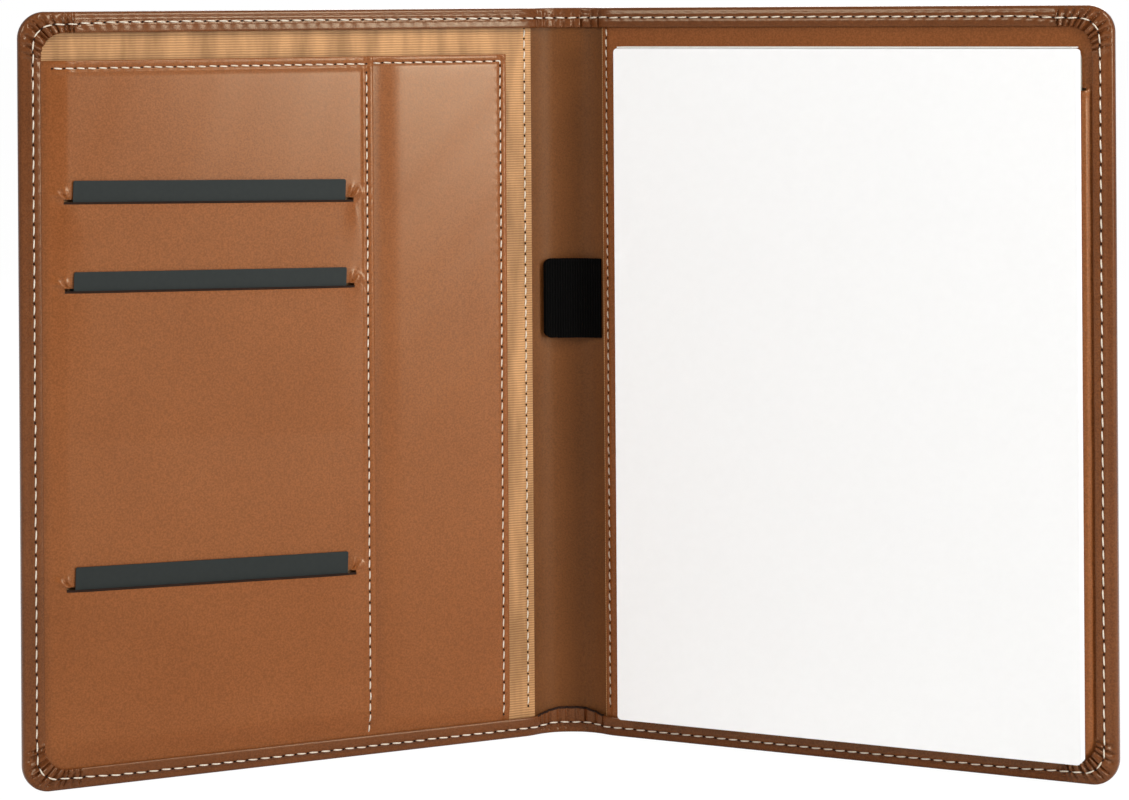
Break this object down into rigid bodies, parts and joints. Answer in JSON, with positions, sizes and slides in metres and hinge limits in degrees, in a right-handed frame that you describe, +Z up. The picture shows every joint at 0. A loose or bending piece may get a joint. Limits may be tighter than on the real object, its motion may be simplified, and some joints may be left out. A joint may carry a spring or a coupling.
{
  "type": "padfolio",
  "caption": "Leather padfolio standing open as a V, with an A5 writing pad in one cover, card slots and a side pocket in the other, and an elastic pen loop on the spine.",
  "frame": {"origin": "middle of the bounding box, on the surface that the folder stands on", "axes": "+Z up along the spine, +Y towards the back of the spine, the inside of both covers faces -Y, and the covers open to -X and +X"},
  "size_m": [0.3236, 0.0776, 0.23],
  "materials": {
    "leather": "satin",
    "spine_leather": "satin",
    "lining": "satin",
    "board": "matte",
    "card": "satin",
    "sleeve": "matte",
    "paper": "matte",
    "glue": "satin",
    "elastic": "matte"
  },
  "bodies": {
    "spine": {"spine_leather": "spine_leather", "spine_lining": "spine_leather", "pen_loop": "elastic"},
    "left_cover": {"left_cover_leather": "leather", "left_board": "board", "left_lining": "lining", "card_panel": "leather", "side_pocket": "leather", "card_sleeve_1": "sleeve", "card_1": "card", "card_sleeve_2": "sleeve", "card_2": "card", "card_sleeve_3": "sleeve", "card_3": "card"},
    "right_cover": {"right_cover_leather": "leather", "right_board": "board", "right_lining": "lining", "right_panel": "leather", "pad_sheets": "paper", "pad_backing": "board", "pad_binding": "glue"}
  },
  "joints": [
    {"name": "left_cover_hinge", "type": "hinge", "parent": "spine", "child": "left_cover", "pos_m": [-0.012, 0.03524, 0.115], "axis": [0, 0, 1], "range_deg": [-24.5, 65.5]},
    {"name": "right_cover_hinge", "type": "hinge", "parent": "spine", "child": "right_cover", "pos_m": [0.012, 0.03524, 0.115], "axis": [0, 0, -1], "range_deg": [-24.5, 65.5]}
  ]
}
